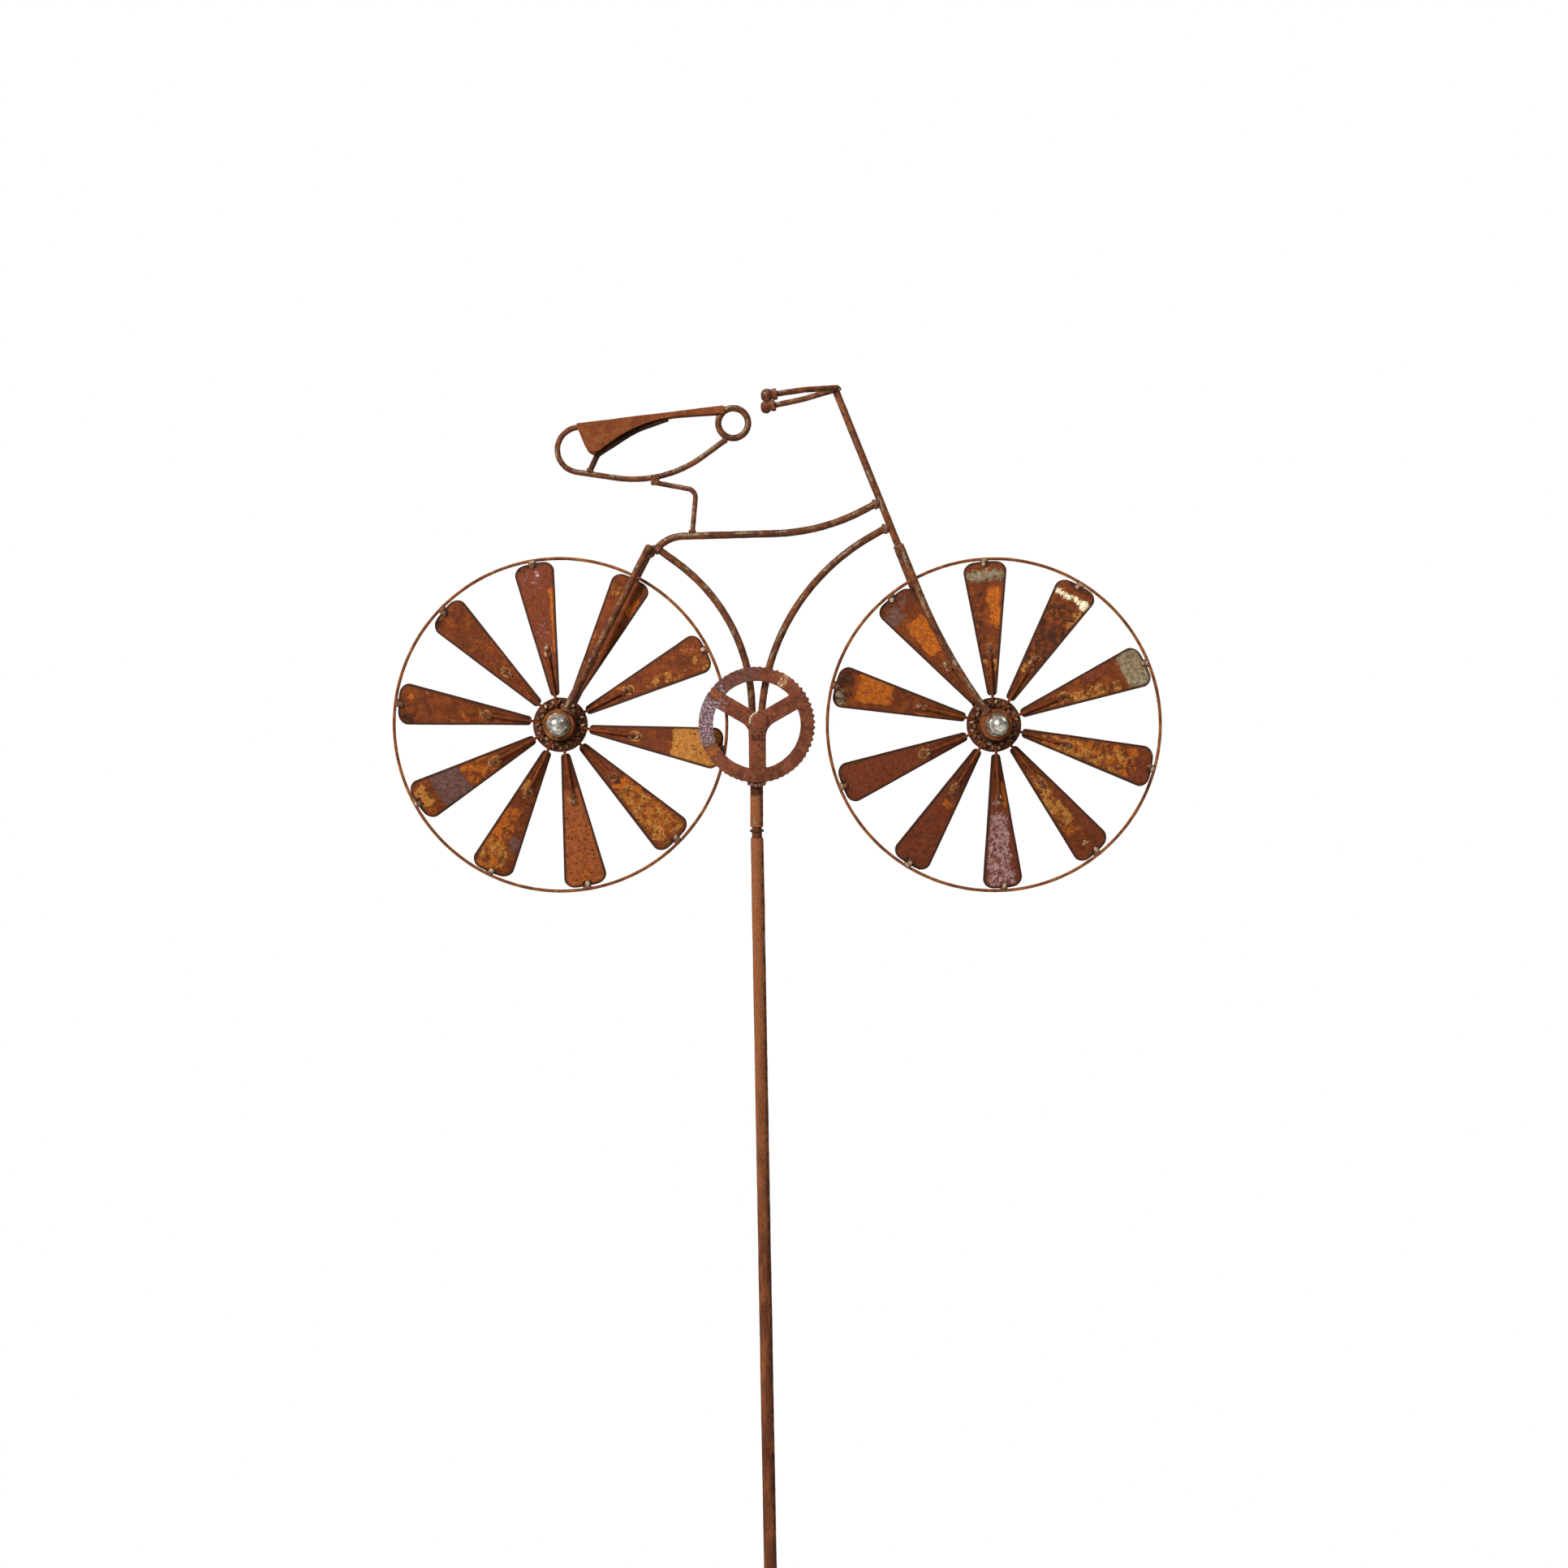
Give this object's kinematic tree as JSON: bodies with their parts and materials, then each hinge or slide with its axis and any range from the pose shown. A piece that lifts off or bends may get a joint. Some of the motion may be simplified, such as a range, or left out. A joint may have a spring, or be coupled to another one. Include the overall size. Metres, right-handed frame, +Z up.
{
  "type": "bicycle wind spinner on a stake",
  "caption": "Rusty metal garden wind spinner in the shape of a bicycle, with bladed wheels that spin, turning on a tall stake.",
  "frame": {"origin": "on the stake's axis at ground level", "axes": "+Z up along the stake, +X towards the front wheel, -Y towards the bicycle's right side with the chainring"},
  "size_m": [0.5724, 0.0493, 1.3315],
  "materials": {
    "stake_rust": "bare steel tube, rusted orange brown, matte",
    "frame_rust": "bare steel rod, rusted dark brown, matte",
    "blade_rust": "bare sheet steel, rusted brown with orange patches, matte",
    "rim_rust": "bare steel wire, rusted, matte",
    "hub_rust": "bare steel, dark rust with weld beads, matte",
    "ring_rust": "bare steel plate, crusty dark rust, matte",
    "zinc": "zinc plated, bright with dull patches"
  },
  "bodies": {
    "stake": {"stake_tube": "stake_rust", "stake_point": "stake_rust", "stake_stop": "stake_rust"},
    "bike": {"spigot": "frame_rust", "spigot_ring": "frame_rust", "stub_tube": "frame_rust", "head_tube": "frame_rust", "top_tube": "frame_rust", "seat_tube": "frame_rust", "down_tube": "frame_rust", "fork_crown": "frame_rust", "stay_bridge": "frame_rust", "fork_leg_right": "frame_rust", "fork_leg_left": "frame_rust", "stay_right": "frame_rust", "stay_left": "frame_rust", "washers": "zinc", "axle_eyes": "ring_rust", "axle_bolts": "zinc", "dome_nuts": "zinc", "chainring": "ring_rust", "chainring_pin": "ring_rust", "saddle_ring": "frame_rust", "saddle_loop": "frame_rust", "saddle_lug": "frame_rust", "saddle_rail": "frame_rust", "saddle_cover": "blade_rust", "seat_post": "frame_rust", "handlebar_right": "frame_rust", "handlebar_left": "frame_rust", "grip_right": "frame_rust", "grip_left": "frame_rust"},
    "rear_wheel": {"rear_rim": "rim_rust", "rear_blade_01": "blade_rust", "rear_blade_02": "blade_rust", "rear_blade_03": "blade_rust", "rear_blade_04": "blade_rust", "rear_blade_05": "blade_rust", "rear_blade_06": "blade_rust", "rear_blade_07": "blade_rust", "rear_blade_08": "blade_rust", "rear_blade_09": "blade_rust", "rear_blade_10": "blade_rust", "rear_spokes": "hub_rust", "rear_hub": "hub_rust", "rear_bush": "hub_rust"},
    "front_wheel": {"front_rim": "rim_rust", "front_blade_01": "blade_rust", "front_blade_02": "blade_rust", "front_blade_03": "blade_rust", "front_blade_04": "blade_rust", "front_blade_05": "blade_rust", "front_blade_06": "blade_rust", "front_blade_07": "blade_rust", "front_blade_08": "blade_rust", "front_blade_09": "blade_rust", "front_blade_10": "blade_rust", "front_spokes": "hub_rust", "front_hub": "hub_rust", "front_bush": "hub_rust"}
  },
  "joints": [
    {"name": "bike_swivel", "type": "hinge", "parent": "stake", "child": "bike", "pos_m": [0, 0, 0.716], "axis": [0, 0, 1], "continuous": true},
    {"name": "rear_wheel_spin", "type": "hinge", "parent": "bike", "child": "rear_wheel", "pos_m": [-0.14468, 0, 0.80296], "axis": [0, 1, 0], "continuous": true},
    {"name": "front_wheel_spin", "type": "hinge", "parent": "bike", "child": "front_wheel", "pos_m": [0.17777, 0, 0.79705], "axis": [0, 1, 0], "continuous": true}
  ]
}
